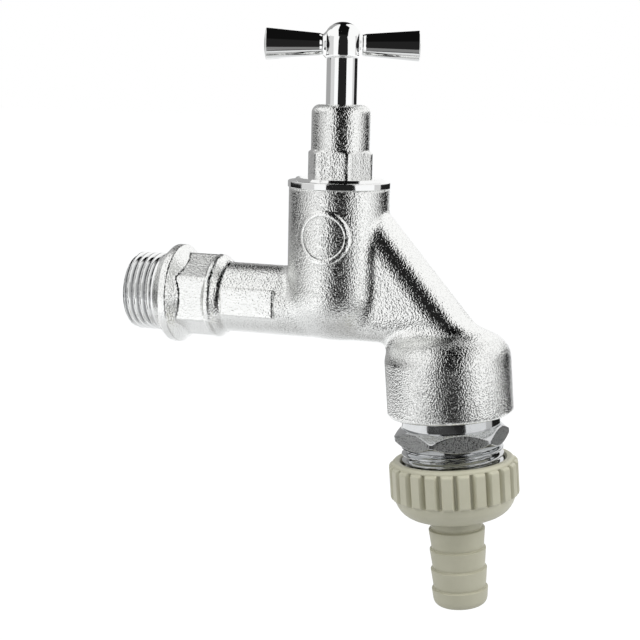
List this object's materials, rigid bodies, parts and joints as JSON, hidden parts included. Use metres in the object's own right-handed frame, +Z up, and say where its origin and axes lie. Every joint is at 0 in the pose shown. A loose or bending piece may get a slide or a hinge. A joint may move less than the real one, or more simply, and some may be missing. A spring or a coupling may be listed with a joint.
{
  "type": "bib tap",
  "caption": "Chromed wall bib tap: threaded inlet, T handle on a screw spindle, sloped spout, hexagon nipple with check valve, ribbed plastic union nut holding a barbed hose tail.",
  "frame": {"origin": "on the inlet axis at the inner end of the inlet thread, where the ring's cone begins", "axes": "+X along the inlet towards the outlet, +Z up the stem to the T handle, +Y to the back of the tap as pictured"},
  "size_m": [0.1076, 0.0336, 0.1503],
  "materials": {
    "valve_body": "satin cast chrome",
    "bonnet": "satin cast chrome, turned flange",
    "bonnet_o_ring": "matt",
    "tee_handle": "polished",
    "spindle": "turned",
    "spindle_o_ring_lower": "matt",
    "spindle_o_ring_upper": "matt",
    "jumper": "turned",
    "seat_washer": "matt",
    "washer_nut": "turned",
    "outlet_nipple": "turned and polished",
    "nipple_gasket": "matt",
    "check_valve_shell": "moulded",
    "check_valve_o_ring": "matt",
    "check_valve_guide": "moulded",
    "check_poppet": "moulded",
    "poppet_seal": "matt",
    "check_spring": "drawn wire",
    "union_gasket": "matt",
    "union_nut": "moulded",
    "hose_tail": "moulded"
  },
  "bodies": {
    "tap_body": {"valve_body": "valve_body", "bonnet": "bonnet", "bonnet_o_ring": "bonnet_o_ring", "outlet_nipple": "outlet_nipple", "nipple_gasket": "nipple_gasket", "check_valve_shell": "check_valve_shell", "check_valve_o_ring": "check_valve_o_ring", "check_valve_guide": "check_valve_guide", "check_spring": "check_spring"},
    "jumper": {"jumper": "jumper", "seat_washer": "seat_washer", "washer_nut": "washer_nut"},
    "spindle": {"spindle": "spindle", "tee_handle": "tee_handle", "spindle_o_ring_lower": "spindle_o_ring_lower", "spindle_o_ring_upper": "spindle_o_ring_upper"},
    "check_poppet": {"check_poppet": "check_poppet", "poppet_seal": "poppet_seal"},
    "hose_tail": {"hose_tail": "hose_tail", "union_gasket": "union_gasket"},
    "union_nut": {"union_nut": "union_nut"}
  },
  "joints": [
    {"name": "valve_lift", "type": "slide", "parent": "tap_body", "child": "jumper", "axis": [0, 0, 1], "range_m": [0, 0.005]},
    {"name": "handle_turn", "type": "hinge", "parent": "jumper", "child": "spindle", "pos_m": [0.0485, 0, 0.05], "axis": [0, 0, 1], "range_deg": [0, 900]},
    {"name": "check_lift", "type": "slide", "parent": "tap_body", "child": "check_poppet", "axis": [0.0906, 0, -0.9959], "range_m": [0, 0.003], "stiffness_N_per_m": 100, "springref_m": -0.003, "deforming": ["check_spring"]},
    {"name": "tail_travel", "type": "slide", "parent": "tap_body", "child": "hose_tail", "axis": [0.0906, 0, -0.9959], "range_m": [0, 0.00727]},
    {"name": "union_nut_turn", "type": "hinge", "parent": "hose_tail", "child": "union_nut", "pos_m": [0.08182, 0, -0.04581], "axis": [0.0906, 0, -0.9959], "range_deg": [0, 1440]}
  ],
  "couplings": [
    {"joint": "handle_turn", "follows": "valve_lift", "rad_per_m": 3141.6},
    {"joint": "tail_travel", "follows": "union_nut_turn", "m_per_rad": 0.00028871}
  ]
}
